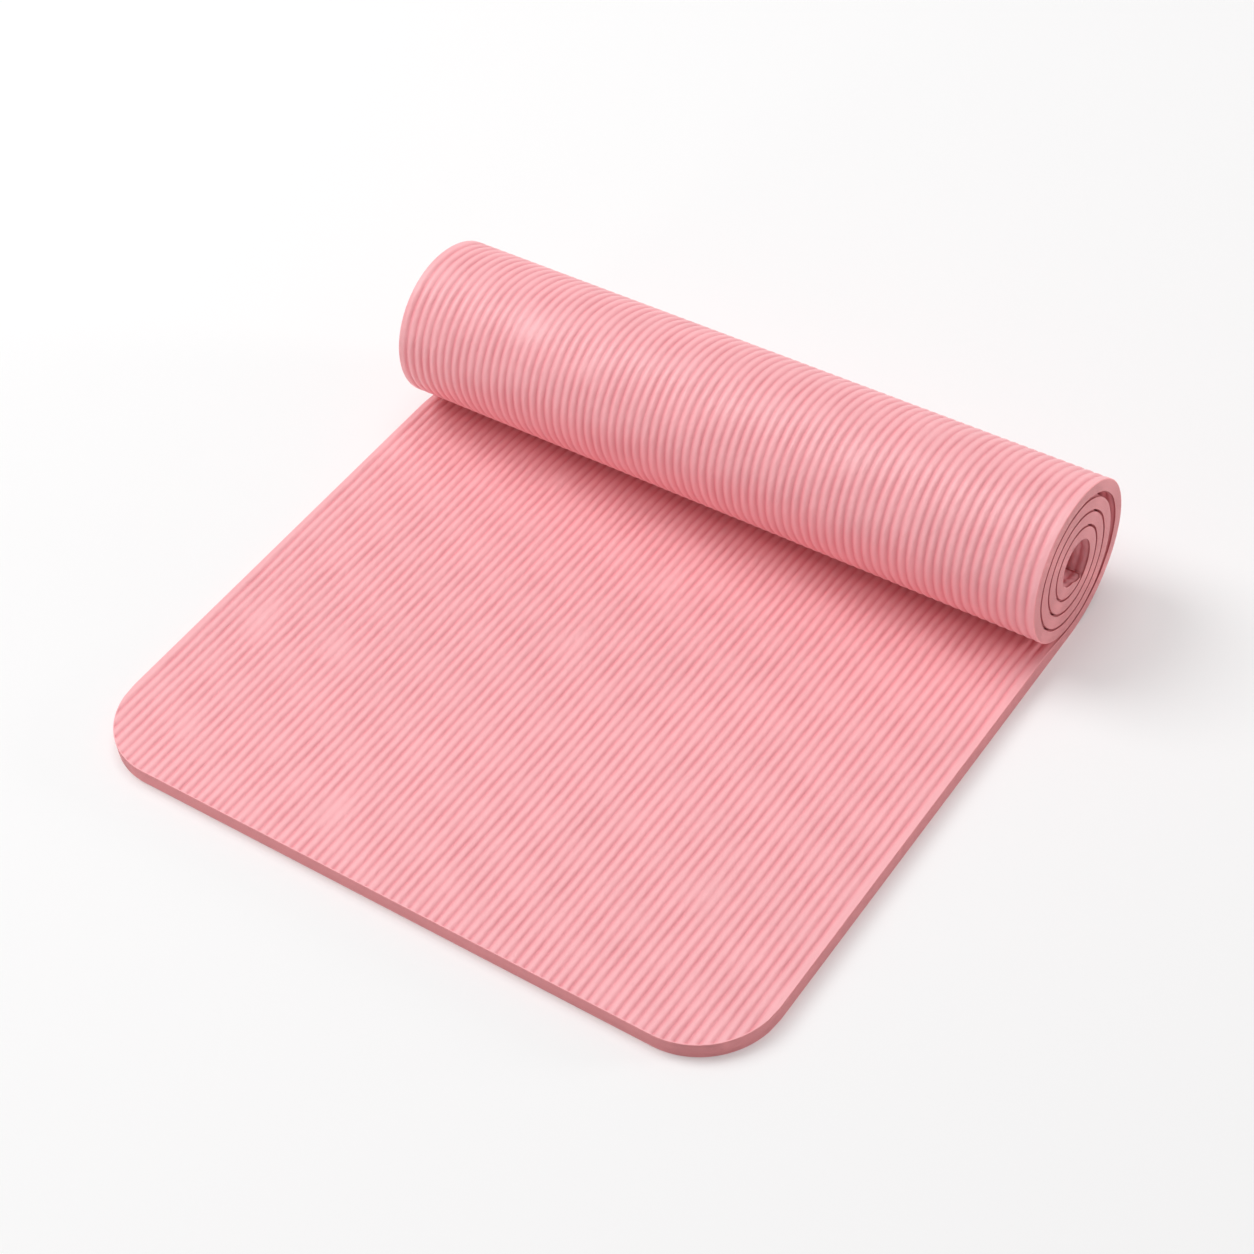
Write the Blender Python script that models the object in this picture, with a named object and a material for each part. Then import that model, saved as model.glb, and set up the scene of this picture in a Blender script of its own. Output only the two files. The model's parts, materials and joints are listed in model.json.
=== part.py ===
"""Ribbed foam exercise mat, lying flat in front and rolled up at the back.

The mat is one foam slab. It is modelled as the lengths between the lines where it flexes: a flat
panel with two rounded front corners, then a chain of short sections that wind inward on top of the
panel's back end. Every section hangs on the one before it along a line on the mat's underside, so
the whole chain can open until the underside lies flat on the floor.

Frame: X runs across the mat, +Y from the front edge to the roll, +Z up. The origin is on the floor
under the middle of the rolled mat's footprint. Lengths are metres.
"""
import math

import bmesh
import bpy
from mathutils import Vector

MM = 0.001

# The slab.
MAT_WIDTH = 610 * MM
MAT_THICKNESS = 11.2 * MM
CORNER_RADIUS = 66 * MM
CORNER_STEPS = 10

# A corner point this near a rib's own line, as a share of the ribs' spacing, is left out.
CORNER_MERGE_SHARE = 0.05

# Ribs run along the mat's length. Their crests are level with the slab's faces. They are cut into
# the panel's top and the outer turn's outside, which are the faces that show.
RIB_COUNT = 76
RIB_DEPTH = 0.8 * MM

# The roll. Its inner turns lie close together, and its first half turn stands off at the back.
FLAT_LENGTH = 495.7 * MM
HOLE_RADIUS = 15 * MM
LAYER_GAP = 0.9 * MM
LAYERS = 4
LOOSE_BULGE = 6 * MM
SECTIONS_PER_TURN = 14

# Neighbouring lengths keep this much clear of each other along the line where the mat flexes.
FLEX_GAP = 0.3 * MM

# The foam's finish.
FOAM_COLOUR = (0.83, 0.37, 0.40, 1.0)
FOAM_ROUGHNESS = 0.72
FOAM_METALLIC = 0.0

LAYER_PITCH = MAT_THICKNESS + LAYER_GAP
ROLL_CENTRE_HEIGHT = HOLE_RADIUS + MAT_THICKNESS + LAYERS * LAYER_PITCH
SECTION_COUNT = LAYERS * SECTIONS_PER_TURN + 1
FLEX_ANGLE = math.tau / SECTIONS_PER_TURN
MITRE_SLOPE = math.tan(FLEX_ANGLE / 2)
MITRE_CLEARANCE = FLEX_GAP / 2 / math.cos(FLEX_ANGLE / 2)


def clear_scene():
    """Remove every object, so the script can run in any open file."""
    for scene_object in list(bpy.data.objects):
        bpy.data.objects.remove(scene_object, do_unlink=True)


def foam_material(name):
    """Return the matte foam finish for one piece."""
    material = bpy.data.materials.new(f"{name}_foam")
    material.use_nodes = True
    shader = material.node_tree.nodes["Principled BSDF"]
    shader.inputs["Base Color"].default_value = FOAM_COLOUR
    shader.inputs["Roughness"].default_value = FOAM_ROUGHNESS
    shader.inputs["Metallic"].default_value = FOAM_METALLIC
    return material


def side_distance(index):
    """Distance from the roll's axis to the underside of section number index.

    Index 0 is the flat panel. The distance drops by one layer pitch a turn, and the first half
    turn also stands off by the loose bulge.
    """
    turned = index * FLEX_ANGLE
    distance = ROLL_CENTRE_HEIGHT - LAYER_PITCH * turned / math.tau
    if turned < math.pi:
        distance += LOOSE_BULGE * math.sin(turned) ** 2
    return distance


def flex_offset(index):
    """Place of the flex line before section index, measured along that section's underside.

    Zero is the foot of the perpendicular from the roll's axis, so the value is negative.
    """
    here = side_distance(index)
    before = side_distance(index - 1)
    return (here * math.cos(FLEX_ANGLE) - before) / math.sin(FLEX_ANGLE)


def section_length(index):
    """Length of section index from its own flex line to the next, or to where that would be."""
    here = side_distance(index)
    after = side_distance(index + 1)
    return (after - here * math.cos(FLEX_ANGLE)) / math.sin(FLEX_ANGLE) - flex_offset(index)


def panel_reach():
    """Distance along the floor from below the roll's axis to the panel's own flex line."""
    after = side_distance(1)
    return (after - side_distance(0) * math.cos(FLEX_ANGLE)) / math.sin(FLEX_ANGLE)


def roll_reach():
    """Greatest distance of the roll's outline behind its axis."""
    reach = 0.0
    for index in range(1, SECTIONS_PER_TURN + 1):
        turned = index * FLEX_ANGLE
        along = flex_offset(index)
        reach = max(reach, side_distance(index) * math.sin(turned) + along * math.cos(turned))
    return reach


def rib_height(across):
    """Drop of the ribbed face below its crests, at a place measured from the mat's side."""
    place = across / MAT_WIDTH * RIB_COUNT
    from_crest = abs(place - math.floor(place) - 0.5) * 2
    return RIB_DEPTH * from_crest


def rib_places():
    """Places across the width where the ribbed face changes slope, from side to side."""
    half_rib = MAT_WIDTH / RIB_COUNT / 2
    return [index * half_rib for index in range(2 * RIB_COUNT + 1)]


def corner_places():
    """Places across the width of the points on both rounded corners."""
    places = []
    for step in range(CORNER_STEPS + 1):
        inset = CORNER_RADIUS * (1 - math.cos(math.pi / 2 * step / CORNER_STEPS))
        places += [inset, MAT_WIDTH - inset]
    return places


def front_inset(across):
    """Distance of the front outline behind the front edge, at a place across the width."""
    from_side = min(across, MAT_WIDTH - across)
    if from_side >= CORNER_RADIUS:
        return 0.0
    run = CORNER_RADIUS - from_side
    return CORNER_RADIUS - math.sqrt(max(CORNER_RADIUS ** 2 - run ** 2, 0.0))


def panel_places():
    """Rib and corner places together, sorted, with none too near the one before it."""
    least_step = MAT_WIDTH / RIB_COUNT * CORNER_MERGE_SHARE
    kept = []
    for place in sorted(rib_places() + corner_places()):
        if not kept or place - kept[-1] > least_step:
            kept.append(place)
    kept[-1] = MAT_WIDTH
    return kept


def add_object(name, mesh_data, parent, location, turn):
    """Put a finished bmesh into the scene as a named piece with its own foam finish."""
    bmesh.ops.recalc_face_normals(mesh_data, faces=mesh_data.faces)
    mesh = bpy.data.meshes.new(name)
    mesh_data.to_mesh(mesh)
    mesh_data.free()
    mesh.materials.append(foam_material(name))
    piece = bpy.data.objects.new(name, mesh)
    bpy.context.collection.objects.link(piece)
    piece.parent = parent
    piece.location = location
    piece.rotation_euler = (turn, 0.0, 0.0)
    return piece


def loft(lower, upper, lower_end, upper_end):
    """Close a solid over four rows of points that run side by side across the mat.

    Args:
        lower, upper: rows along the near end's bottom and top edges.
        lower_end, upper_end: the same rows at the far end.

    Returns:
        The bmesh. Its faces are flat, because each pair of rows differs only along the mat.
    """
    solid = bmesh.new()
    rows = [[solid.verts.new(point) for point in row] for row in (lower, upper, lower_end, upper_end)]
    near_low, near_high, far_low, far_high = rows
    for first, second in ((near_low, far_low), (near_high, far_high)):
        if len(first) == 2:
            solid.faces.new((first[0], first[1], second[1], second[0]))
            continue
        for index in range(len(first) - 1):
            corners = (first[index], first[index + 1], second[index + 1], second[index])
            solid.faces.new(corners)
    if len(near_low) == len(near_high):
        for index in range(len(near_low) - 1):
            corners = (near_low[index], near_low[index + 1], near_high[index + 1], near_high[index])
            solid.faces.new(corners)
    else:
        solid.faces.new(near_low + near_high[::-1])
    solid.faces.new(far_low + far_high[::-1])
    for side in (0, -1):
        solid.faces.new((near_low[side], near_high[side], far_high[side], far_low[side]))
    return solid


def build_panel(front):
    """Build the flat length of the mat, from the rounded front corners to under the roll."""
    flex_line = front + FLAT_LENGTH + panel_reach()
    lower, upper, lower_end, upper_end = [], [], [], []
    for across in panel_places():
        side = across - MAT_WIDTH / 2
        near = front + front_inset(across)
        top = MAT_THICKNESS - rib_height(across)
        lower.append(Vector((side, near, 0.0)))
        upper.append(Vector((side, near, top)))
        lower_end.append(Vector((side, flex_line - MITRE_CLEARANCE, 0.0)))
        upper_end.append(Vector((side, flex_line - MITRE_CLEARANCE - top * MITRE_SLOPE, top)))
    solid = loft(lower, upper, lower_end, upper_end)
    return add_object("flat_panel", solid, None, (0.0, 0.0, 0.0), 0.0), flex_line


def build_section(index, parent, flex_line):
    """Build one length of the roll, with its origin on the flex line that it opens about.

    Its own Y runs along the mat and its own Z from the underside to the top face. The underside
    is the face that shows on the roll, and on the outer turn it has its ribs.
    """
    length = section_length(index)
    last = index == SECTION_COUNT
    ribbed = index <= SECTIONS_PER_TURN
    low_places = rib_places() if ribbed else [0.0, MAT_WIDTH]
    rows = []
    for far in (False, True):
        low_row = []
        for across in low_places:
            height = rib_height(across) if ribbed else 0.0
            low_row.append(section_point(across, height, length, far, last))
        high_row = [section_point(across, MAT_THICKNESS, length, far, last)
                    for across in (0.0, MAT_WIDTH)]
        rows += [low_row, high_row]
    solid = loft(rows[0], rows[1], rows[2], rows[3])
    name = f"roll_section_{index:02d}"
    return add_object(name, solid, parent, (0.0, flex_line, 0.0), FLEX_ANGLE)


def section_point(across, height, length, far, last):
    """Return a corner of a section: across the mat, at a height, on its near or far end."""
    mitre = MITRE_CLEARANCE + height * MITRE_SLOPE
    if not far:
        along = mitre
    elif last:
        along = length
    else:
        along = length - mitre
    return Vector((across - MAT_WIDTH / 2, along, height))


def build_mat():
    """Build the panel, then wind the sections on from its back end."""
    front = -(FLAT_LENGTH + roll_reach()) / 2
    piece, flex_line = build_panel(front)
    for index in range(1, SECTION_COUNT + 1):
        piece = build_section(index, piece, flex_line)
        flex_line = section_length(index)


clear_scene()
build_mat()
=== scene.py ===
"""Looks of a ribbed foam exercise mat: flat in front, rolled up at the back.

The mat is one foam slab. Its looks are made as lengths that meet edge to edge: the flat length, one
bent length for each line where the slab flexes, and the free end inside the roll. Lengths are
metres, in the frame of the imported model: X across the mat, +Y from the front edge to the roll,
+Z up. A place in the slab is (x, s, h): across the mat, along it from the front edge, and up from
the underside, which is the face that shows on the roll.
"""
import json
import logging
import math
from collections.abc import Callable
from dataclasses import dataclass, replace
from enum import Enum
from typing import Any

import bpy
import numpy as np
from mathutils import Matrix, Vector

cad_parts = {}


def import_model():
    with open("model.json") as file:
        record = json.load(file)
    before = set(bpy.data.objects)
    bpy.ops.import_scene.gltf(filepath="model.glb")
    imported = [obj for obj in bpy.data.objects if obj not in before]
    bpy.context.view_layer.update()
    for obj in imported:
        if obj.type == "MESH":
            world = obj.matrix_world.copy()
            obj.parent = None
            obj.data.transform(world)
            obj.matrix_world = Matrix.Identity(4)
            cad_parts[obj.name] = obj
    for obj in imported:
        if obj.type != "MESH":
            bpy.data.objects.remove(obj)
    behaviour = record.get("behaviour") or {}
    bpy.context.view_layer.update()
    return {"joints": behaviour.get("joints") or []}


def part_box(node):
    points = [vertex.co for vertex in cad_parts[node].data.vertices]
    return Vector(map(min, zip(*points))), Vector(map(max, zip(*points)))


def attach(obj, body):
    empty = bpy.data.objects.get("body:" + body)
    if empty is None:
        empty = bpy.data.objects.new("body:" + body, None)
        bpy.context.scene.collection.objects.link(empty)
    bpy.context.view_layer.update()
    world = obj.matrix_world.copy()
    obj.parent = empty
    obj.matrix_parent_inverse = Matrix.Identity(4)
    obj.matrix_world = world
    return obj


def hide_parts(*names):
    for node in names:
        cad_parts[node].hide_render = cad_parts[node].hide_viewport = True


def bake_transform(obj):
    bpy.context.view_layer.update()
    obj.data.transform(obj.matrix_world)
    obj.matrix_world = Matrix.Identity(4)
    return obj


MM = 0.001
IMAGE_SIDE = 1254
SENSOR_WIDTH = 36.0
WHITE = (1.0, 1.0, 1.0, 1.0)
LOG = logging.getLogger("mat")

# The slab's length from the front edge to below the roll's axis.
FLAT_LENGTH = 495.7 * MM

# Edges of the mesh that turn by more than this stay sharp.
SHARP_ANGLE = math.radians(60)

# How often a range is halved to find where a point of the slab lies round the roll.
HALVINGS = 30

# Detail of the noise in the foam's patches of colour, in its grain and in its lumps.
PATCH_DETAIL = 3.0
GRAIN_DETAIL = 2.0
LUMP_DETAIL = 1.0

# Scale of the grain to that of the cells, and of the lumps along the mat to that across it.
GRAIN_SCALE = 0.35
LUMP_STRETCH = 0.35

# The value about which noise swings.
NOISE_MIDDLE = 0.5

# Numbers of the mixing node's sockets for colours: two inputs and the output.
FIRST_COLOUR, SECOND_COLOUR, MIXED_COLOUR = 6, 7, 2

# Lays places across the mat, along it and up from the underside in the frame.
Laying = Callable[[np.ndarray, np.ndarray, np.ndarray], np.ndarray]


class Detail(Enum):
    """Places of the mesh's columns in one rib, as shares of its width from groove to groove."""

    FINE = (0.0, 0.08, 0.18, 0.33, 0.5, 0.67, 0.82, 0.92)
    PLAIN = (0.0, 0.12, 0.3, 0.5, 0.7, 0.88)


def smoothstep(value: np.ndarray) -> np.ndarray:
    """Return 3v^2 - 2v^3 of the value clipped to 0 to 1."""
    clipped = np.clip(value, 0.0, 1.0)
    return clipped * clipped * (3.0 - 2.0 * clipped)


@dataclass(frozen=True)
class PressedSpot:
    """A soft spot where use has pressed the ribs nearly flat."""

    x: float
    s: float
    half_width: float
    half_length: float
    strength: float

    def share(self, x: np.ndarray, s: np.ndarray) -> np.ndarray:
        """Return the spot's bell-shaped strength at each place.

        Args:
            x: Places across the mat.
            s: Places along the mat.

        Returns:
            The strength, which falls with the square of the distance as a bell curve does.
        """
        across = (x - self.x) / self.half_width
        along = (s - self.s) / self.half_length
        return self.strength * np.exp(-across ** 2 - along ** 2)


@dataclass(frozen=True)
class Wave:
    """A slanting wave over the slab, by its lengths along and across the mat."""

    along: float
    across: float
    start: float = 0.0
    size: float = 1.0

    def height(self, x: np.ndarray, s: np.ndarray) -> np.ndarray:
        """Return the size times the sine of the turns gone through at each place."""
        return self.size * np.sin(math.tau * (s / self.along + x / self.across + self.start))


@dataclass(frozen=True)
class Ribs:
    """The lengthwise ribs on both faces, with broad round crests and narrow grooves."""

    width: float
    count: int = 76
    depth: float = 1.3 * MM
    crest_power: float = 1.0
    groove_softness: float = 0.012
    wander: float = 0.3 * MM
    wander_waves: tuple[Wave, ...] = (Wave(310 * MM, 170 * MM),
                                      Wave(117 * MM, -83 * MM, 0.3, 0.6),
                                      Wave(43 * MM, 23 * MM, 0.7, 0.35))
    unevenness: float = 0.16
    uneven_waves: tuple[Wave, Wave] = (Wave(190 * MM, 61 * MM), Wave(71 * MM, -130 * MM))
    spots: tuple[PressedSpot, ...] = (
        PressedSpot(-263 * MM, 180 * MM, 9 * MM, 20 * MM, 0.75),
        PressedSpot(-187 * MM, 179 * MM, 10 * MM, 13 * MM, 0.55),
        PressedSpot(-80 * MM, 48 * MM, 12 * MM, 17 * MM, 0.6),
        PressedSpot(-236 * MM, 54 * MM, 7 * MM, 14 * MM, 0.45),
        PressedSpot(209 * MM, 129 * MM, 11 * MM, 16 * MM, 0.5),
        PressedSpot(7 * MM, 376 * MM, 8 * MM, 15 * MM, 0.55),
        PressedSpot(-23 * MM, 286 * MM, 9 * MM, 16 * MM, 0.6),
        PressedSpot(-141 * MM, 430 * MM, 8 * MM, 13 * MM, 0.5),
        PressedSpot(-182 * MM, 767 * MM, 15 * MM, 14 * MM, 0.8),
        PressedSpot(-118 * MM, 779 * MM, 10 * MM, 9 * MM, 0.5),
        PressedSpot(173 * MM, 719 * MM, 9 * MM, 12 * MM, 0.5),
        PressedSpot(128 * MM, 771 * MM, 8 * MM, 12 * MM, 0.45))

    @property
    def pitch(self) -> float:
        """Return the distance from groove to groove."""
        return self.width / self.count

    def columns(self, detail: Detail, margin: float) -> np.ndarray:
        """Return the places across the mat where the mesh has its columns.

        Args:
            detail: Places in one rib.
            margin: Width of the rim, which has columns of its own.

        Returns:
            Places from one rim to the other, both included.
        """
        shares = np.array(detail.value)
        places = (np.arange(self.count)[:, None] + shares[None, :]).ravel() * self.pitch
        least = self.pitch * min(shares[1:]) / 2
        inside = places[(places > margin + least) & (places < self.width - margin - least)]
        return np.concatenate(([margin], inside, [self.width - margin])) - self.width / 2

    def drift(self, x: np.ndarray, s: np.ndarray) -> np.ndarray:
        """Return how far each groove strays sideways: a slow, a middling and a quick wave."""
        return self.wander * sum(wave.height(x, s) for wave in self.wander_waves)

    def groove(self, x: np.ndarray, s: np.ndarray) -> np.ndarray:
        """Return the share of the full depth at each place, 0 on a crest and 1 in a groove.

        The crest is a power of the sine of the place in its rib, softened in the groove.

        Args:
            x: Places across the mat.
            s: Places along the mat.

        Returns:
            The share at each place.
        """
        place = (x + self.width / 2 + self.drift(x, s)) / self.pitch
        sine = np.sin(math.pi * place) ** 2
        soft = self.groove_softness
        crest = (sine + soft) ** (self.crest_power / 2)
        lowest, highest = soft ** (self.crest_power / 2), (1 + soft) ** (self.crest_power / 2)
        return 1.0 - (crest - lowest) / (highest - lowest)

    def drop(self, x: np.ndarray, s: np.ndarray) -> np.ndarray:
        """Return the drop below the crests' level, uneven and weaker in the pressed spots.

        Args:
            x: Places across the mat.
            s: Places along the mat.

        Returns:
            The drop at each place, which the product of two waves makes uneven.
        """
        first, second = self.uneven_waves
        uneven = 1 + self.unevenness * first.height(x, s) * second.height(x, s)
        pressed = np.zeros(np.broadcast(x, s).shape)
        for spot in self.spots:
            pressed = np.maximum(pressed, spot.share(x, s))
        return self.depth * uneven * self.groove(x, s) * (1 - pressed)


@dataclass(frozen=True)
class Rim:
    """The slab's cut edge: crisp, but rounded by wear on the roll's outside. The ribs end at it."""

    radius: float = 0.9 * MM
    crisp_radius: float = 0.3 * MM
    margin: float = 1.3 * MM
    fade: float = 2.6 * MM
    rib_left: float = 0.2
    rib_end: float = 0.2 * MM
    rib_end_fade: float = 1.7 * MM
    side_press: float = 0.45 * MM
    side_run: float = 9 * MM
    # Painted shade: a dark band just inside the outline, on faces that lie between the roll's
    # layers.
    gap_start: float = 0.05 * MM
    gap_depth: float = 0.7 * MM
    gap_fade: float = 1.2 * MM
    steps: int = 4

    def insets(self) -> np.ndarray:
        """Return the distances from the outline of the rim's lines, from the inmost outwards."""
        turn = np.linspace(0.0, math.pi / 2, self.steps + 1)
        return self.radius * (1 - np.sin(turn))

    def drop(self, inset: np.ndarray, worn: np.ndarray) -> np.ndarray:
        """Return the rounding's drop: a quarter circle.

        Args:
            inset: Distance of each place from the outline.
            worn: Share of wear at each place, 0 where the edge is crisp.

        Returns:
            The drop at each place, 0 beyond the rounding's radius.
        """
        radius = self.edge_radius(worn)
        run = np.clip(radius - inset, 0.0, radius)
        return radius - np.sqrt(np.maximum(radius ** 2 - run ** 2, 0.0))

    def edge_radius(self, worn: np.ndarray) -> np.ndarray:
        """Return the rounding's radius at each share of wear."""
        return self.crisp_radius + (self.radius - self.crisp_radius) * worn

    def painted_gap_shade(self, inset: np.ndarray) -> np.ndarray:
        """Return the share of painted shade between two layers at a distance from the outline."""
        faded = smoothstep((inset - self.gap_depth) / self.gap_fade)
        return smoothstep(inset / self.gap_start) * (1 - faded)

    def side_drop(self, from_side: np.ndarray) -> np.ndarray:
        """Return how far use has pressed each face in, at a distance from the slab's side."""
        return self.side_press * (1 - smoothstep(from_side / self.side_run))

    def rib_share(self, from_side: np.ndarray, inset: np.ndarray) -> np.ndarray:
        """Return what is left of the ribs' depth near the slab's sides and near its outline.

        Args:
            from_side: Distance of each place from the slab's side.
            inset: Its distance from the outline.

        Returns:
            The product of two smoothsteps, 1 well inside.
        """
        inside = smoothstep((from_side - self.margin) / self.fade)
        ended = smoothstep((inset - self.rib_end) / self.rib_end_fade)
        return (self.rib_left + (1 - self.rib_left) * inside) * ended


@dataclass(frozen=True)
class Roll:
    """The rolled length: the line of its underside, as a distance from the axis at each turn.

    The distance drops by one layer pitch a turn, and the first half turn stands off by the loose
    bulge. The slab flexes at hinges, which lie outside the smooth line.
    """

    centre_y: float
    thickness: float
    step: float
    hinges: int
    hole_radius: float = 15 * MM
    layer_gap: float = 0.9 * MM
    layers: int = 4
    loose_bulge: float = 6 * MM

    @property
    def pitch(self) -> float:
        """Return the distance from layer to layer."""
        return self.thickness + self.layer_gap

    @property
    def centre_z(self) -> float:
        """Return the height of the roll's axis."""
        return self.hole_radius + self.thickness + self.layers * self.pitch

    def distance(self, turn: np.ndarray) -> np.ndarray:
        """Return the underside's distance from the axis at each turn, in radians."""
        bulge = np.where(turn < math.pi, self.loose_bulge * np.sin(turn) ** 2, 0.0)
        return self.centre_z - self.pitch * turn / math.tau + bulge

    def slope(self, turn: np.ndarray) -> np.ndarray:
        """Return the change of the distance with the turn."""
        bulge = np.where(turn < math.pi, self.loose_bulge * np.sin(2 * turn), 0.0)
        return bulge - self.pitch / math.tau

    def place(self, along: np.ndarray, height: np.ndarray, turn: np.ndarray) -> np.ndarray:
        """Turn vectors round the roll.

        Args:
            along: Their part along the slab.
            height: Their part up from the underside.
            turn: How far each is turned, in radians.

        Returns:
            Their (y, z) parts in the frame.
        """
        y = along * np.cos(turn) - height * np.sin(turn)
        z = along * np.sin(turn) + height * np.cos(turn)
        return np.stack((y, z), axis=-1)

    def smooth(self, turn: np.ndarray, height: np.ndarray) -> np.ndarray:
        """Return the (y, z) places of the slab on its smooth line.

        Args:
            turn: How far round the roll each place is, in radians.
            height: Its height above the underside.

        Returns:
            The envelope of the lines at the given distances, moved inward by the height.
        """
        from_axis = self.place(self.slope(turn), height - self.distance(turn), turn)
        return from_axis + np.array([self.centre_y, self.centre_z])

    def hinge_offset(self, index: int) -> float:
        """Return the place of hinge number index along its own side, from the axis's foot."""
        here, before = self.distance(np.array([index, index - 1]) * self.step)
        return float((here * math.cos(self.step) - before) / math.sin(self.step))

    def hinge(self, index: int) -> np.ndarray:
        """Return the (y, z) place of a hinge.

        Args:
            index: The hinge's number.

        Returns:
            Where the sides before and after it cross.
        """
        turn = index * self.step
        from_axis = self.place(self.hinge_offset(index), -self.distance(turn), turn)
        return from_axis + np.array([self.centre_y, self.centre_z])

    def reach(self, index: int) -> tuple[float, float]:
        """Return the slab's length before and after a hinge, up to the seams on both sides.

        Args:
            index: The hinge's number.

        Returns:
            Both lengths, along the straight sides. A seam is where the smooth line touches a side.
        """
        turn = index * self.step
        before = float(self.slope(turn - self.step))
        after = float(self.slope(turn))
        previous, here = self.distance(np.array([turn - self.step, turn]))
        far_end = (here - previous * math.cos(self.step)) / math.sin(self.step)
        return float(far_end - before), float(after - self.hinge_offset(index))

    def length_to(self, index: int) -> float:
        """Return the slab's length from the flat length's end to the end of a bent length."""
        return sum(sum(self.reach(number)) for number in range(1, index + 1))

    def outer_turn(self) -> float:
        """Return the slab's length in the roll's outer turn."""
        return self.length_to(round(math.tau / self.step))

    def whole_length(self) -> float:
        """Return the slab's length in the whole roll, up to the free end."""
        return self.length_to(self.hinges) + self.reach(self.hinges + 1)[0]

    def flex_span(self, index: int) -> tuple[np.ndarray, np.ndarray]:
        """Return the span over which a bent length turns from one body to the next.

        Args:
            index: The number of its hinge.

        Returns:
            The (y, z) places on the top face where it starts and ends.
        """
        turns = np.array([index - 1, index]) * self.step
        start, end = self.smooth(turns, np.full(2, self.thickness))
        return start, end

    def flattening(self, index: int, along: np.ndarray, height: np.ndarray) -> np.ndarray:
        """Return the (y, z) places at rest of points that lie exactly flat when unrolled.

        Each point turns about the hinge by its weight times the step, and the weight is a
        smoothstep of where that puts it between the span's ends. Halving finds the weight.

        Args:
            index: The hinge's number.
            along: Place along the flat slab, from the hinge.
            height: Height above the underside.

        Returns:
            The places, pairs in an array of one more dimension.
        """
        start, end = self.flex_span(index)
        span = end - start
        low, high = np.zeros(along.shape), np.ones(along.shape)
        for _ in range(HALVINGS):
            weight = (low + high) / 2
            place = self.hinge(index) + self.place(along, height, (index - 1 + weight) * self.step)
            reached = smoothstep((place - start) @ span / (span @ span))
            low = np.where(reached > weight, weight, low)
            high = np.where(reached > weight, high, weight)
        return place


@dataclass(frozen=True)
class Face:
    """One face of the slab: its height above the underside, and what the finish reads there: the
    shares for painted shade in grooves, partly on cuts, and in gaps between layers.
    """

    height: np.ndarray
    groove: np.ndarray
    cut: np.ndarray
    # Share of the painted shade in the gaps between the roll's layers.
    gap: np.ndarray


@dataclass
class Surface:
    """A mesh in the making: places, four-sided faces and the slab's top face and underside."""

    places: np.ndarray
    faces: np.ndarray
    pattern: np.ndarray
    top: Face
    under: Face

    def to_object(self, name: str) -> bpy.types.Object:
        """Make an object of this surface, smooth except at its ends' corners.

        The pattern place goes into a UV map, and groove, cut and gap into point attributes, which
        set the finish's painted shade.

        Args:
            name: The object's name.

        Returns:
            The object, at the origin.
        """
        mesh = bpy.data.meshes.new(name)
        mesh.from_pydata(self.places, [], self.faces)
        mesh.shade_smooth()
        mesh.set_sharp_from_angle(angle=SHARP_ANGLE)
        corners = np.empty(len(mesh.loops), dtype=np.int32)
        mesh.loops.foreach_get("vertex_index", corners)
        layer = mesh.uv_layers.new(name="slab")
        layer.uv.foreach_set("vector", self.pattern[corners].astype(np.float32).ravel())
        for label in ("groove", "cut", "gap"):
            values = [getattr(face, label).ravel() for face in (self.top, self.under)]
            attribute = mesh.attributes.new(label, "FLOAT", "POINT")
            attribute.data.foreach_set("value", np.concatenate(values).astype(np.float32))
        piece = bpy.data.objects.new(name, mesh)
        bpy.context.scene.collection.objects.link(piece)
        return piece


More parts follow.
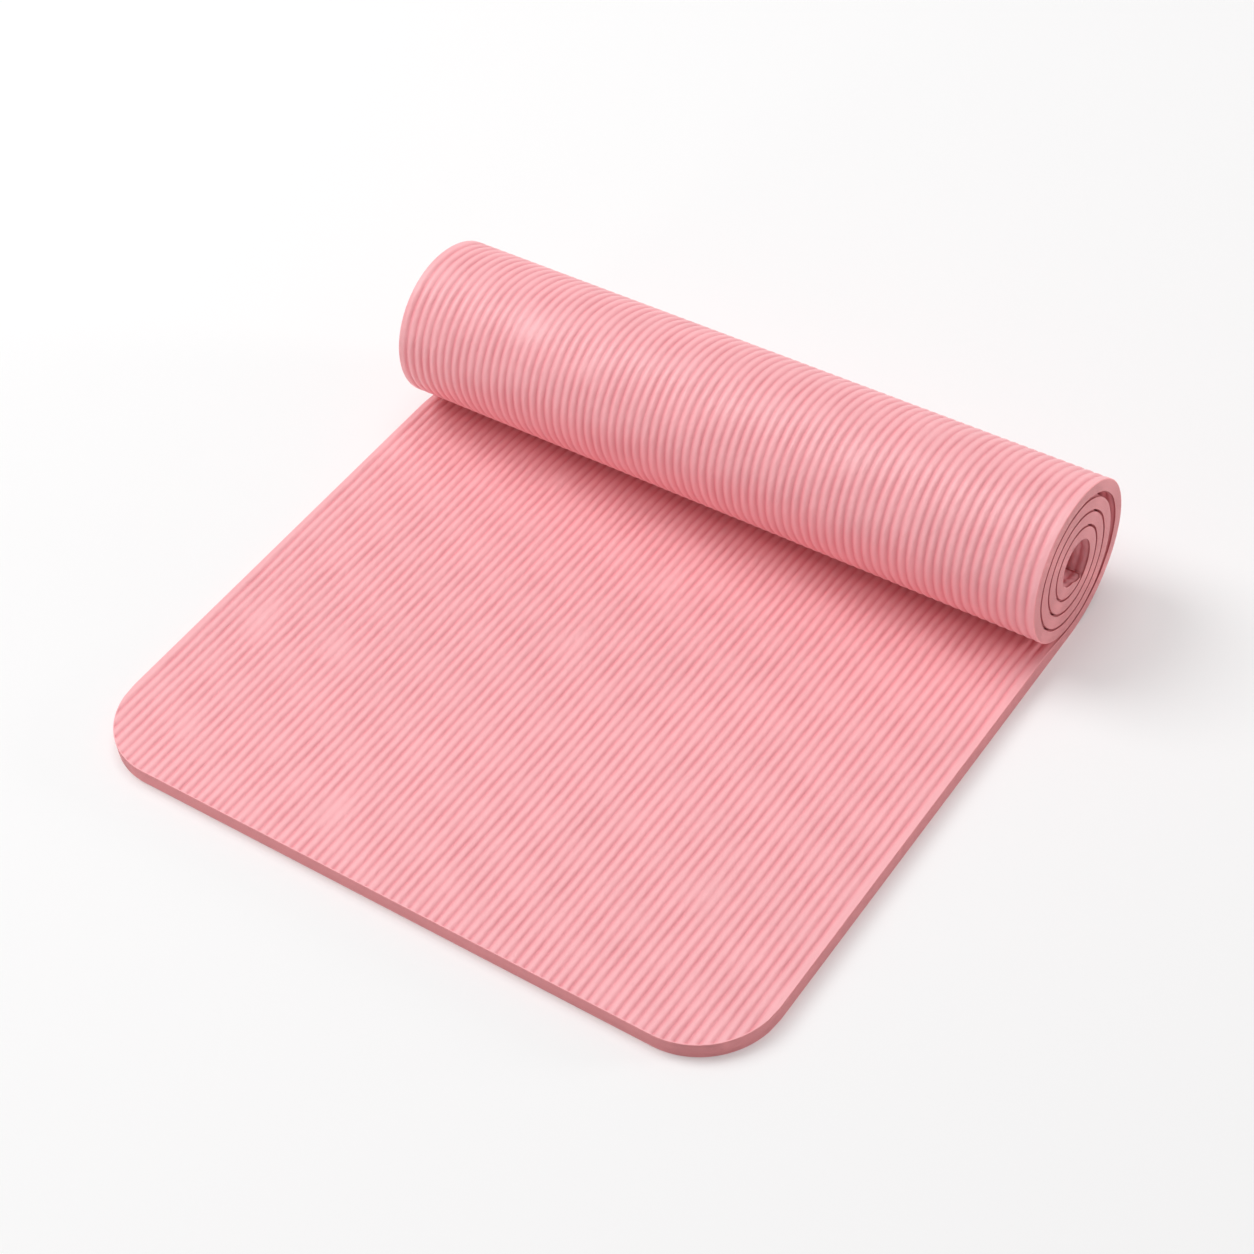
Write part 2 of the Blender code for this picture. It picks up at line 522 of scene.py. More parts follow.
@dataclass(frozen=True)
class Slab:
    """The foam slab: its section and lengths, and where the roll presses it thinner.

    The flat length has the foam's free thickness. The roll's weight presses it to the rolled
    thickness below the roll, and the free end inside the roll is pressed thinnest.
    """

    width: float
    rolled_thickness: float
    flat_length: float
    outer_turn: float
    rolled_length: float
    ribs: Ribs
    rim: Rim
    thickness: float = 15 * MM
    press_run: float = 50 * MM
    wear_run: float = 40 * MM
    pressed_length: float = 20 * MM
    pressed_share: float = 0.8

    def pressed(self, s: np.ndarray) -> np.ndarray:
        """Return the share of the roll's pressure at each place along the slab."""
        return smoothstep(1 + (s - self.flat_length) / self.press_run)

    def worn(self, s: np.ndarray) -> np.ndarray:
        """Return the share of wear on the underside, which shows up to the outer turn's end."""
        return smoothstep((self.flat_length + self.outer_turn - s) / self.wear_run)

    def local_thickness(self, s: np.ndarray) -> np.ndarray:
        """Return the thickness at each place along the slab.

        Args:
            s: Places along the mat.

        Returns:
            A smoothstep from the free thickness to the rolled one, less at the free end.
        """
        to_end = self.flat_length + self.rolled_length - s
        near_end = 1 - smoothstep(to_end / self.pressed_length)
        base = self.thickness + (self.rolled_thickness - self.thickness) * self.pressed(s)
        return base * (1 - self.pressed_share * near_end)

    def both_faces(self, x: np.ndarray, s: np.ndarray, inset: np.ndarray) -> tuple[Face, Face]:
        """Return the top face and the underside.

        Args:
            x: Places across the mat.
            s: Places along the mat.
            inset: Distance of each place from the slab's outline.

        Returns:
            Both faces, with their heights above the underside's crests.
        """
        worn = self.worn(s)
        top = self.one_face(x, s, inset, np.zeros(worn.shape), self.pressed(s))
        under = self.one_face(x, s, inset, worn, 1 - worn)
        return replace(top, height=self.local_thickness(s) - top.height), under

    def one_face(self, x: np.ndarray, s: np.ndarray, inset: np.ndarray, worn: np.ndarray,
                 inside: np.ndarray) -> Face:
        """Return a face whose height is its drop below the crests.

        Args:
            x: Places across the mat.
            s: Places along the mat.
            inset: Distance of each place from the slab's outline.
            worn: Share of wear on its edges.
            inside: Share of its being between two layers of the roll.

        Returns:
            The face.
        """
        from_side = self.width / 2 - np.abs(x)
        ribbed = self.ribs.drop(x, s) * self.rim.rib_share(from_side, inset)
        drop = ribbed + self.rim.drop(inset, worn) + self.rim.side_drop(from_side) * inside
        # The cut mask tints cut faces partly as painted shade, and the last share paints shade into
        # the gaps between layers.
        cut = smoothstep(1 - inset / self.rim.edge_radius(worn))
        return Face(drop, ribbed / self.ribs.depth, cut, self.rim.painted_gap_shade(inset) * inside)

    def section_columns(self, detail: Detail) -> np.ndarray:
        """Return the columns of a full section, with the rim's lines at both sides.

        Args:
            detail: Places in one rib.

        Returns:
            Places across the mat, from side to side.
        """
        inner = self.ribs.columns(detail, self.rim.margin)
        edge = self.width / 2 - self.rim.insets()
        return np.concatenate((-edge[::-1], inner, edge))

    def pattern(self, x: np.ndarray, s: np.ndarray) -> np.ndarray:
        """Return the pattern's places on both faces, measured around the slab and along it.

        Args:
            x: Places across the mat.
            s: Places along the mat.

        Returns:
            Pairs for the top face and then for the underside, which lies on past the slab's side.
        """
        round_side = 2 * (self.width + self.rolled_thickness) - x
        return np.concatenate([np.stack(np.broadcast_arrays(around, s), axis=-1).reshape(-1, 2)
                               for around in (x, round_side)])


def grid_faces(index: np.ndarray) -> np.ndarray:
    """Return a grid's four-sided faces, which face where columns crossed with rows points."""
    corners = index[:-1, :-1], index[:-1, 1:], index[1:, 1:], index[1:, :-1]
    return np.stack(corners, axis=-1).reshape(-1, 4)


@dataclass
class BentLength:
    """One length of the roll, which bends at a hinge, from one seam to the next."""

    slab: Slab
    roll: Roll
    index: int
    start_s: float
    outside: bool
    end_share: float = 0.15
    end_margin: float = 7 * MM
    row_shares: tuple[float, ...] = (0.0, 0.03, 0.2, 0.4, 0.6, 0.8, 0.97, 1.0)

    @property
    def name(self) -> str:
        """Return the piece's name."""
        return f"mat_bend_{self.index:02d}"

    def length(self) -> float:
        """Return the slab's length in this piece."""
        return sum(self.roll.reach(self.index))

    def face(self, x: np.ndarray, height: np.ndarray, flattened: bool) -> np.ndarray:
        """Return the places at rest of one face.

        The middle of the width lies so that it unrolls exactly flat, and near the sides, where
        the layers show on the roll's end, it nears the smooth line. The roll's outside is smooth.

        Args:
            x: Places across the mat, one for each column.
            height: Height above the underside, rows by columns.
            flattened: Whether the face is one that unrolls flat.

        Returns:
            Places of the frame, rows by columns.
        """
        rows = np.array(self.row_shares)[:, None]
        turn = (self.index - 1 + rows) * self.roll.step + np.zeros(height.shape)
        places = self.roll.smooth(turn, height)
        if flattened:
            before, after = self.roll.reach(self.index)
            along = rows * (before + after) - before + np.zeros(height.shape)
            inside = smoothstep((self.slab.width / 2 - np.abs(x)) / self.end_margin)
            share = (self.end_share + (1 - self.end_share) * inside)[None, :, None]
            places += share * (self.roll.flattening(self.index, along, height) - places)
        across = np.broadcast_to(x, height.shape)[..., None]
        return np.concatenate((across, places), axis=-1)

    def surface(self) -> Surface:
        """Make the length's surface.

        Returns:
            The closed surface: two faces, two sides and the two ends that meet others.
        """
        x = self.slab.section_columns(Detail.FINE if self.outside else Detail.PLAIN)
        s = self.start_s + np.array(self.row_shares)[:, None] * self.length()
        inset = np.broadcast_to(self.slab.width / 2 - np.abs(x), (len(s), len(x)))
        top, under = self.slab.both_faces(x, s, inset)
        above = np.arange(inset.size).reshape(inset.shape)
        below = above + inset.size
        left = np.stack((below[:, 0], above[:, 0]), axis=1)
        right = np.stack((above[:, -1], below[:, -1]), axis=1)
        near = np.stack((below[0], above[0]))
        far = np.stack((above[-1], below[-1]))
        grids = (above, below[:, ::-1], left, right, near, far)
        faces = np.concatenate([grid_faces(grid) for grid in grids])
        places = np.concatenate((self.face(x, top.height, True).reshape(-1, 3),
                                 self.face(x, under.height, not self.outside).reshape(-1, 3)))
        return Surface(places, faces, self.slab.pattern(x, s), top, under)


@dataclass
class EndLength:
    """An end of the slab, with its cut outline: a straight edge between two rounded corners.

    It is worked out flat, with y measured inward from the edge, and then laid where it belongs.
    """

    slab: Slab
    name: str
    length: float
    corner_radius: float
    row_step: float
    near_rows: tuple[float, ...]
    detail: Detail

    def edge_line(self, x: np.ndarray, inset: float) -> np.ndarray:
        """Return y of the outline moved inward: straight, with an arc at each side.

        Args:
            x: Places across the mat.
            inset: How far the outline is moved.

        Returns:
            y at each place.
        """
        run = np.abs(x) - (self.slab.width / 2 - self.corner_radius)
        arc = self.corner_radius - np.sqrt(
            np.maximum((self.corner_radius - inset) ** 2 - np.maximum(run, 0.0) ** 2, 0.0))
        return np.where(run > 0, arc, inset)

    def inset(self, x: np.ndarray, y: np.ndarray) -> np.ndarray:
        """Return the distance from the outline of each place: to the edge, a side or an arc.

        Args:
            x: Places across the mat.
            y: Places inward from the edge.

        Returns:
            The distance, which is 0 on the outline.
        """
        run = np.abs(x) - (self.slab.width / 2 - self.corner_radius)
        rise = self.corner_radius - y
        from_arc = self.corner_radius - np.hypot(np.maximum(run, 0.0), np.maximum(rise, 0.0))
        from_side = self.slab.width / 2 - np.abs(x)
        near_edge = np.where(run > 0, from_arc, y)
        return np.where(rise > 0, near_edge, from_side)

    def outward(self, x: np.ndarray, y: np.ndarray) -> np.ndarray:
        """Return the direction to the outline at each place on the rim's inner line.

        Args:
            x: Places across the mat.
            y: Places inward from the edge.

        Returns:
            Vectors of length 1: away from an arc's centre, and square to the edge and sides.
        """
        run = np.maximum(np.abs(x) - (self.slab.width / 2 - self.corner_radius), 0.0)
        rise = np.maximum(self.corner_radius - y, 0.0)
        size = np.hypot(run, rise)
        return np.stack((np.sign(x) * run / size, -rise / size), axis=-1)

    def rows(self) -> np.ndarray:
        """Work out where the mesh has rows.

        Returns:
            Shares of the length, closer near the edge.
        """
        near = np.array(self.near_rows)
        count = max(2, round((self.length - near[-1]) / self.row_step))
        spread = np.linspace(near[-1], self.length, count + 1)
        return np.concatenate((near[:-1], spread)) / self.length

    def surface(self, lay: Laying, start_s: float, backwards: bool) -> Surface:
        """Make the end's surface, laid in place.

        A grid covers each face up to the rim's inner line. Rings of points go on from there,
        outward along that line's directions, and join the faces round the edge and both sides.

        Args:
            lay: Lays the end's places in the frame.
            start_s: Place along the mat of this end's edge.
            backwards: Whether y runs against the mat's own direction.

        Returns:
            The closed surface.
        """
        rim = self.slab.rim
        x = self.slab.ribs.columns(self.detail, rim.margin)
        first = self.edge_line(x, rim.margin)
        y = first + self.rows()[:, None] * (self.length - first)
        across = np.broadcast_to(x, y.shape)
        above = np.arange(y.size).reshape(y.shape)
        order = np.concatenate((above[::-1, 0], above[0, 1:], above[1:, -1]))
        edge_x, edge_y = across.ravel()[order], y.ravel()[order]
        outward = self.outward(edge_x, edge_y)
        insets = rim.insets()
        move = (rim.margin - insets)[:, None]
        ring_x, ring_y = edge_x + move * outward[:, 0], edge_y + move * outward[:, 1]
        ring_inset = np.broadcast_to(insets[:, None], ring_x.shape)
        all_x = np.concatenate((across.ravel(), ring_x.ravel()))
        all_y = np.concatenate((y.ravel(), ring_y.ravel()))
        all_inset = np.concatenate((self.inset(across, y).ravel(), ring_inset.ravel()))
        s = start_s - all_y if backwards else start_s + all_y
        top, under = self.slab.both_faces(all_x, s, all_inset)
        count = len(all_x)
        rings = y.size + np.arange(ring_x.size).reshape(ring_x.shape)
        half_band = np.concatenate((order[None, :], rings))
        band = np.concatenate((half_band, half_band[::-1] + count))
        cap = np.concatenate((rings[::-1, 0], above[-1], rings[:, -1]))
        grids = (above, above[:, ::-1] + count, band[::-1], np.stack((cap, cap + count)))
        faces = np.concatenate([grid_faces(grid) for grid in grids])
        if backwards:
            faces = faces[:, ::-1]
        places = np.concatenate((lay(all_x, s, top.height), lay(all_x, s, under.height)))
        return Surface(places, faces, self.slab.pattern(all_x, s), top, under)


class Wiring:
    """Adds nodes to one node tree and joins their sockets."""

    def __init__(self, tree: bpy.types.NodeTree) -> None:
        """Start with an empty tree."""
        self.tree = tree
        tree.nodes.clear()

    def add(self, kind: str, settings: dict[str, object] | None = None,
            **inputs: object) -> bpy.types.Node:
        """Add a node.

        Args:
            kind: The node's type.
            settings: Properties of the node.
            inputs: Its inputs by name, spaces as underscores: a value, or a socket to join.

        Returns:
            The node.
        """
        node = self.tree.nodes.new(kind)
        for label, value in (settings or {}).items():
            setattr(node, label, value)
        for label, value in inputs.items():
            self.join(node.inputs[label.replace("_", " ")], value)
        return node

    def join(self, socket: bpy.types.NodeSocket, value: object) -> None:
        """Join an input to an output, or give it a value.

        Args:
            socket: The input.
            value: The output, or the value.
        """
        if isinstance(value, bpy.types.NodeSocket):
            self.tree.links.new(value, socket)
        else:
            socket.default_value = value

    def math(self, operation: str, first: object, second: object) -> bpy.types.NodeSocket:
        """Add a calculation with two values.

        Args:
            operation: Its kind.
            first: A value or an output.
            second: Another.

        Returns:
            The result's output.
        """
        node = self.add("ShaderNodeMath", {"operation": operation})
        self.join(node.inputs[0], first)
        self.join(node.inputs[1], second)
        return node.outputs[0]

    def mix(self, factor: object, first: object, second: object) -> bpy.types.NodeSocket:
        """Add a mix of two colours.

        Args:
            factor: The second one's share.
            first: A colour or an output.
            second: Another.

        Returns:
            The mixed colour's output.
        """
        node = self.add("ShaderNodeMix", {"data_type": "RGBA"}, Factor=factor)
        self.join(node.inputs[FIRST_COLOUR], first)
        self.join(node.inputs[SECOND_COLOUR], second)
        return node.outputs[MIXED_COLOUR]

    def blend(self, share: object, first: bpy.types.Node,
              second: bpy.types.Node) -> bpy.types.NodeSocket:
        """Add a blend of two shaders.

        Args:
            share: The second one's share.
            first: A shader.
            second: Another.

        Returns:
            The blended shader's output.
        """
        node = self.add("ShaderNodeMixShader", Fac=share)
        self.join(node.inputs[1], first.outputs[0])
        self.join(node.inputs[2], second.outputs[0])
        return node.outputs[0]


def new_group(name: str, inputs: dict[str, str],
              outputs: dict[str, str]) -> tuple[Wiring, bpy.types.Node, bpy.types.Node]:
    """Start a shader node group.

    Args:
        name: The group's name.
        inputs: Kinds of its input sockets by name.
        outputs: Kinds of its output sockets by name.

    Returns:
        The wiring, the group's input node and its output node.
    """
    group = bpy.data.node_groups.new(name, "ShaderNodeTree")
    for in_out, sockets in (("INPUT", inputs), ("OUTPUT", outputs)):
        for label, kind in sockets.items():
            group.interface.new_socket(name=label, in_out=in_out, socket_type=f"NodeSocket{kind}")
    wiring = Wiring(group)
    return wiring, group.nodes.new("NodeGroupInput"), group.nodes.new("NodeGroupOutput")


def tone_and_shade_group() -> bpy.types.NodeTree:
    """Make the group for the foam's colour, mottled, with painted shade: darker in grooves and in
    the gaps between layers, and deeper on cuts, partly the cut foam's own tone and partly painted
    shade.

    Returns:
        The group, which puts out the colour.
    """
    wiring, source, result = new_group(
        "foam_tone_and_shade",
        {"Pattern": "Vector", "Groove": "Float", "Cut": "Float", "Gap": "Float",
         "Crest Colour": "Color", "Groove Colour": "Color", "Cut Colour": "Color",
         "Gap Colour": "Color", "Patch Scale": "Float", "Mottle": "Float"},
        {"Colour": "Color"})
    # Painted shade: grooves take a darker colour than crests.
    ribbed = wiring.mix(source.outputs["Groove"], source.outputs["Crest Colour"],
                        source.outputs["Groove Colour"])
    # Cut faces take a deeper tone, partly the cut foam's own and partly painted shade.
    cut_toned_and_shaded = wiring.mix(source.outputs["Cut"], ribbed, source.outputs["Cut Colour"])
    # Painted shade: a dark colour in the gaps between the roll's layers.
    gap_shaded = wiring.mix(source.outputs["Gap"], cut_toned_and_shaded, source.outputs["Gap Colour"])
    patches = wiring.add("ShaderNodeTexNoise", Vector=source.outputs["Pattern"],
                         Scale=source.outputs["Patch Scale"], Detail=PATCH_DETAIL)
    swing = wiring.math("SUBTRACT", patches.outputs[0], NOISE_MIDDLE)
    value = wiring.math("MULTIPLY", swing, source.outputs["Mottle"])
    shade = wiring.add("ShaderNodeHueSaturation", Color=gap_shaded,
                       Value=wiring.math("ADD", value, 1.0))
    wiring.join(result.inputs["Colour"], shade.outputs["Color"])
    return wiring.tree


def skin_group() -> bpy.types.NodeTree:
    """Make the group for the foam's skin: closed cells, long low lumps and uneven roughness.

    Returns:
        The group, which puts out the height and the roughness.
    """
    wiring, source, result = new_group(
        "foam_skin",
        {"Pattern": "Vector", "Cell Scale": "Float", "Lump Scale": "Float", "Lumps": "Float",
         "Roughness": "Float", "Swing": "Float"},
        {"Height": "Float", "Roughness": "Float"})
    cells = wiring.add("ShaderNodeTexVoronoi", {"feature": "SMOOTH_F1"},
                       Vector=source.outputs["Pattern"], Scale=source.outputs["Cell Scale"])
    grain_scale = wiring.math("MULTIPLY", source.outputs["Cell Scale"], GRAIN_SCALE)
    grain = wiring.add("ShaderNodeTexNoise", Vector=source.outputs["Pattern"],
                       Scale=grain_scale, Detail=GRAIN_DETAIL)
    drawn_out = wiring.add("ShaderNodeMapping", Vector=source.outputs["Pattern"],
                           Scale=(1.0, LUMP_STRETCH, 1.0))
    lumps = wiring.add("ShaderNodeTexNoise", Vector=drawn_out.outputs[0],
                       Scale=source.outputs["Lump Scale"], Detail=LUMP_DETAIL)
    fine = wiring.math("ADD", cells.outputs["Distance"], grain.outputs[0])
    coarse = wiring.math("MULTIPLY", lumps.outputs[0], source.outputs["Lumps"])
    wiring.join(result.inputs["Height"], wiring.math("ADD", fine, coarse))
    swing = wiring.math("SUBTRACT", grain.outputs[0], NOISE_MIDDLE)
    rough = wiring.math("MULTIPLY", swing, source.outputs["Swing"])
    wiring.join(result.inputs["Roughness"],
                wiring.math("ADD", rough, source.outputs["Roughness"]))
    return wiring.tree


@dataclass(frozen=True)
class FoamFinish:
    """Matte closed-cell foam, pink, with painted shade in its grooves, partly on its cuts, and in
    the gaps between the roll's layers.
    """

    crest: tuple[float, ...] = (0.945, 0.455, 0.485, 1.0)
    # Painted shade: the colour in the grooves, darker than the crests'.
    groove: tuple[float, ...] = (0.83, 0.295, 0.33, 1.0)
    # The cut faces' colour: partly the cut foam's own tone, partly painted shade of the side faces.
    cut: tuple[float, ...] = (0.96, 0.335, 0.355, 1.0)
    # Painted shade: the dark colour in the gaps between the roll's layers.
    gap: tuple[float, ...] = (0.5, 0.1, 0.11, 1.0)
    roughness: float = 0.46
    roughness_swing: float = 0.2
    patches_per_metre: float = 26.0
    mottle: float = 0.12
    cells_per_metre: float = 1400.0
    lumps_per_metre: float = 260.0
    lumps: float = 13.0
    relief: float = 0.05 * MM
    specular: float = 0.5

    def material(self) -> bpy.types.Material:
        """Make the foam's material.

        Returns:
            The material, which reads the slab's pattern, and the groove, cut and gap shares for its
            painted shade.
        """
        material = bpy.data.materials.new("pink_foam")
        material.use_nodes = True
        wiring = Wiring(material.node_tree)
        place = wiring.add("ShaderNodeUVMap", {"uv_map": "slab"}).outputs["UV"]
        groove, cut, gap = (
            wiring.add("ShaderNodeAttribute", {"attribute_name": label}).outputs["Fac"]
            for label in ("groove", "cut", "gap"))
        tone = wiring.add("ShaderNodeGroup", {"node_tree": tone_and_shade_group()}, Pattern=place,
                          Groove=groove, Cut=cut, Gap=gap, Crest_Colour=self.crest,
                          Groove_Colour=self.groove, Cut_Colour=self.cut, Gap_Colour=self.gap,
                          Patch_Scale=self.patches_per_metre, Mottle=self.mottle)
        skin = wiring.add("ShaderNodeGroup", {"node_tree": skin_group()}, Pattern=place,
                          Cell_Scale=self.cells_per_metre, Lump_Scale=self.lumps_per_metre,
                          Lumps=self.lumps, Roughness=self.roughness,
                          Swing=self.roughness_swing)
        bump = wiring.add("ShaderNodeBump", Height=skin.outputs["Height"], Distance=self.relief)
        shader = wiring.add("ShaderNodeBsdfPrincipled", Base_Color=tone.outputs["Colour"],
                            Roughness=skin.outputs["Roughness"], Normal=bump.outputs["Normal"],
                            Specular_IOR_Level=self.specular)
        wiring.add("ShaderNodeOutputMaterial", Surface=shader.outputs["BSDF"])
        return material


@dataclass
class Mat:
    """The whole mat: the flat length, the bent lengths and the free end."""

    slab: Slab
    roll: Roll
    front: float
    flat_length: float
    corner_radius: float = 66 * MM
    free_corner_radius: float = 3.5 * MM
    panel_row_step: float = 7.3 * MM
    free_row_step: float = 1.0 * MM
    near_rows: tuple[float, ...] = (0.0, 0.5 * MM, 1.1 * MM, 1.9 * MM, 3.0 * MM, 4.6 * MM, 7.0 * MM)

    def build(self, finish: FoamFinish) -> None:
        """Build every length and dress it, and hang the flat length and the free end on their
        bodies.

        Args:
            finish: The foam's finish.
        """
        material = finish.material()
        self.add_flat_length(material)
        reached = self.flat_length
        for index in range(1, self.roll.hinges + 1):
            reached = self.add_bent_length(index, reached, material)
        self.add_free_end(reached, material)

    def dress(self, surface: Surface, name: str, material: bpy.types.Material) -> bpy.types.Object:
        """Make a surface's object, dressed in the foam's material.

        Args:
            surface: The surface.
            name: The object's name.
            material: Its finish.

        Returns:
            The object.
        """
        piece = surface.to_object(name)
        piece.data.materials.append(material)
        LOG.info("%s: %d faces", name, len(surface.faces))
        return piece

    def add_flat_length(self, material: bpy.types.Material) -> None:
        """Add the flat length, from the front edge to below the roll.

        Args:
            material: Its finish.
        """
        panel = EndLength(self.slab, "mat_flat", self.flat_length, self.corner_radius,
                          self.panel_row_step, self.near_rows, Detail.FINE)

        def lay(x: np.ndarray, s: np.ndarray, height: np.ndarray) -> np.ndarray:
            """Lay places on the floor, from the front edge."""
            return np.stack((x, self.front + s, height), axis=-1)

        piece = self.dress(panel.surface(lay, 0.0, False), panel.name, material)
        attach(piece, "flat_panel")
        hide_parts("flat_panel")

    def add_bent_length(self, index: int, start_s: float, material: bpy.types.Material) -> float:
        """Add one bent length, from one seam to the next.

        Args:
            index: The number of its hinge.
            start_s: Place along the mat where it starts.
            material: Its finish.

        Returns:
            The place along the mat where it ends.
        """
        outside = index * self.roll.step < math.tau + self.roll.step / 2
        bent = BentLength(self.slab, self.roll, index, start_s, outside)
        piece = self.dress(bent.surface(), bent.name, material)
        ends = [(0.0, *point) for point in self.roll.flex_span(index)]
        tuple(ends[0])
        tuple(ends[1])
        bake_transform(piece)
        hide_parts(f"roll_section_{index:02d}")
        return start_s + bent.length()

    def add_free_end(self, start_s: float, material: bpy.types.Material) -> None:
        """Add the free end, which goes on round the hole from the last hinge's length.

        Args:
            start_s: Place along the mat where it starts.
            material: Its finish.
        """
        last = self.roll.hinges
        length = self.roll.reach(last + 1)[0]
        end = EndLength(self.slab, "mat_free_end", length, self.free_corner_radius,
                        self.free_row_step, (0.0,), Detail.PLAIN)
        seam = last * self.roll.step
        around = float(self.roll.distance(np.array(seam)))

        def lay(x: np.ndarray, s: np.ndarray, height: np.ndarray) -> np.ndarray:
            """Lay places on the roll's smooth line, from the last seam."""
            places = self.roll.smooth(seam + (s - start_s) / around, height)
            return np.concatenate((x[:, None], places), axis=-1)

        piece = self.dress(end.surface(lay, start_s + length, True), end.name, material)
        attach(piece, f"roll_section_{last:02d}")


@dataclass(frozen=True)
class Lamp:
    """A soft round lamp, aimed at the mat."""

    name: str
    azimuth: float
    elevation: float
    distance: float
    size: float
    light: float

    def add(self, target: Vector) -> None:
        """Add the lamp. Its light is what a white surface facing it would show, 1 being white.

        Args:
            target: The place that it is aimed at.
        """
        data = bpy.data.lights.new(self.name, "AREA")
        data.shape = "DISK"
        data.size = self.size
        data.energy = self.light * math.pi ** 2 * self.distance ** 2
        lamp = bpy.data.objects.new(self.name, data)
        back = direction(self.azimuth, self.elevation)
        lamp.location = target + back * self.distance
        lamp.rotation_mode = "QUATERNION"
        lamp.rotation_quaternion = (-back).to_track_quat("-Z", "Y")
        bpy.context.scene.collection.objects.link(lamp)


def direction(azimuth: float, elevation: float) -> Vector:
    """Return the direction to a viewer or a lamp.

    Args:
        azimuth: Degrees round from the front, towards +X.
        elevation: Degrees up.

    Returns:
        A vector of length 1.
    """
    turn, rise = math.radians(azimuth), math.radians(elevation)
    return Vector((math.sin(turn) * math.cos(rise), -math.cos(turn) * math.cos(rise),
                   math.sin(rise)))


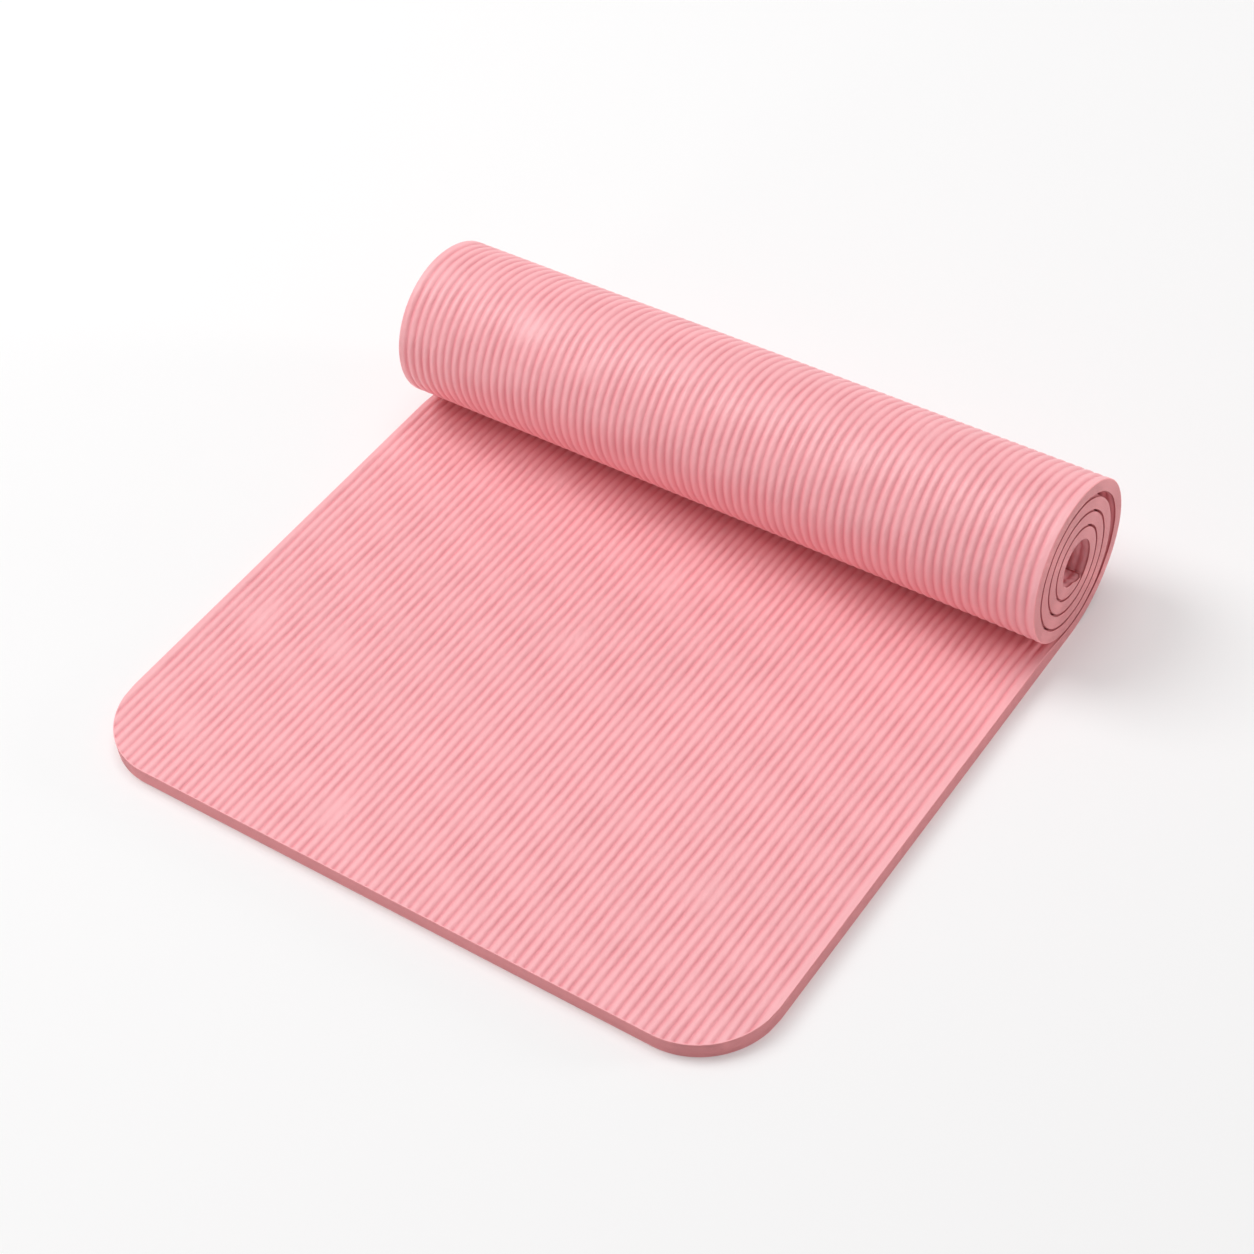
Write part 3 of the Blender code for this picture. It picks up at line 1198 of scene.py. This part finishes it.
@dataclass(frozen=True)
class Studio:
    """Pale floor, soft light and the camera at the photograph's angle."""

    azimuth: float = 39.6076
    elevation: float = 46.2675
    roll: float = -7.1639
    distance: float = 2.17748
    target: tuple[float, ...] = (-0.00544, 0.03868, 0.0)
    focal_pixels: float = 2702.28
    floor_half: float = 6.0
    floor_colour: tuple[float, ...] = (0.94, 0.935, 0.935, 1.0)
    floor_glow: float = 0.2
    floor_fade: tuple[float, float] = (1.3, 2.8)
    backdrop: tuple[float, ...] = (0.98, 0.975, 0.975, 1.0)
    sky_light: float = 0.34
    lamps: tuple[Lamp, ...] = (Lamp("key_lamp", -82.0, 54.0, 5.0, 3.2, 0.5),
                               Lamp("top_lamp", -165.0, 76.0, 5.0, 3.0, 0.29),
                               Lamp("side_lamp", 122.0, 7.0, 5.0, 1.2, 0.3),
                               Lamp("front_lamp", -10.0, 8.0, 5.0, 1.5, 0.12))

    def build(self) -> None:
        """Add the floor, the world, the lamps and the camera."""
        self.add_floor()
        self.add_world()
        for lamp in self.lamps:
            lamp.add(Vector(self.target))
        self.add_camera()
        bpy.context.scene.view_settings.view_transform = "Standard"

    def add_floor(self) -> None:
        """Add the floor, one square."""
        half = self.floor_half
        corners = [(-half, -half, 0.0), (half, -half, 0.0), (half, half, 0.0), (-half, half, 0.0)]
        mesh = bpy.data.meshes.new("floor")
        mesh.from_pydata(corners, [], [(0, 1, 2, 3)])
        mesh.materials.append(self.floor_material())
        floor = bpy.data.objects.new("floor", mesh)
        bpy.context.scene.collection.objects.link(floor)

    def floor_material(self) -> bpy.types.Material:
        """Make the floor's material.

        A weak glow keeps the floor pale to the camera and lets the mat's shadow show. Far from
        the mat it glows like the backdrop, so the floor has no edge.

        Returns:
            The material.
        """
        material = bpy.data.materials.new("pale_floor")
        material.use_nodes = True
        wiring = Wiring(material.node_tree)
        plain = wiring.add("ShaderNodeBsdfDiffuse", Color=self.floor_colour)
        glow = wiring.add("ShaderNodeEmission", Color=self.backdrop)
        place = wiring.add("ShaderNodeNewGeometry").outputs["Position"]
        away = wiring.add("ShaderNodeVectorMath", {"operation": "LENGTH"}, Vector=place)
        start, end = self.floor_fade
        level = wiring.add("ShaderNodeMapRange", {"interpolation_type": "SMOOTHSTEP"},
                           Value=away.outputs["Value"], From_Min=start, From_Max=end,
                           To_Min=self.floor_glow, To_Max=1.0)
        share = wiring.math("MULTIPLY", self.seen(wiring), level.outputs["Result"])
        wiring.add("ShaderNodeOutputMaterial", Surface=wiring.blend(share, plain, glow))
        return material

    @staticmethod
    def seen(wiring: Wiring) -> bpy.types.NodeSocket:
        """Tell apart the rays that show a surface from those that light the object.

        Args:
            wiring: The material's or the world's nodes.

        Returns:
            An output, 1 for rays of the camera, of gloss and through glass, and 0 for others.
        """
        path = wiring.add("ShaderNodeLightPath").outputs
        both = wiring.math("MAXIMUM", path["Is Camera Ray"], path["Is Glossy Ray"])
        return wiring.math("MAXIMUM", both, path["Is Transmission Ray"])

    def add_world(self) -> None:
        """Add the world: plain light on the object, and the pale backdrop to the camera."""
        world = bpy.data.worlds.new("studio")
        bpy.context.scene.world = world
        world.use_nodes = True
        wiring = Wiring(world.node_tree)
        light = wiring.add("ShaderNodeBackground", Color=WHITE, Strength=self.sky_light)
        shown = wiring.add("ShaderNodeBackground", Color=self.backdrop)
        mixed = wiring.blend(self.seen(wiring), light, shown)
        wiring.add("ShaderNodeOutputWorld", Surface=mixed)

    def add_camera(self) -> None:
        """Add the camera, turned about its own line of sight as the photograph was taken."""
        data = bpy.data.cameras.new("camera")
        data.sensor_width = SENSOR_WIDTH
        data.lens = self.focal_pixels / IMAGE_SIDE * SENSOR_WIDTH
        camera = bpy.data.objects.new("camera", data)
        back = direction(self.azimuth, self.elevation)
        right = Vector((math.cos(math.radians(self.azimuth)),
                        math.sin(math.radians(self.azimuth)), 0.0))
        up = back.cross(right)
        turn = math.radians(self.roll)
        level, upright = math.cos(turn), math.sin(turn)
        rows = (right * level + up * upright, up * level - right * upright, back)
        camera.matrix_world = Matrix.Translation(Vector(self.target) + back * self.distance) @ (
            Matrix(rows).transposed().to_4x4())
        bpy.context.scene.collection.objects.link(camera)
        bpy.context.scene.camera = camera


def read_mat(frame: dict[str, Any]) -> Mat:
    """Work out the mat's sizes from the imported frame.

    Args:
        frame: The frame, as loaded.

    Returns:
        The mat, not yet built.
    """
    low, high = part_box("flat_panel")
    width, thickness = high.x - low.x, high.z
    step = math.radians(frame["joints"][0]["range_deg"][1])
    hinges = len(frame["joints"])
    roll = Roll(low.y + FLAT_LENGTH, thickness, step, hinges)
    flat_length = FLAT_LENGTH + float(roll.slope(np.zeros(1))[0])
    slab = Slab(width, thickness, flat_length, roll.outer_turn(), roll.whole_length(),
                Ribs(width), Rim())
    first = np.array(frame["joints"][0]["pos_m"][1:])
    LOG.info("hinge 1 is %.4f mm from the frame's", np.linalg.norm(roll.hinge(1) - first) / MM)
    return Mat(slab, roll, low.y, flat_length)


def main() -> None:
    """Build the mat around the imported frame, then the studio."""
    logging.basicConfig(level=logging.INFO, format="%(name)s: %(message)s")
    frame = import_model()
    read_mat(frame).build(FoamFinish())
    Studio().build()


if __name__ == "__main__":
    main()
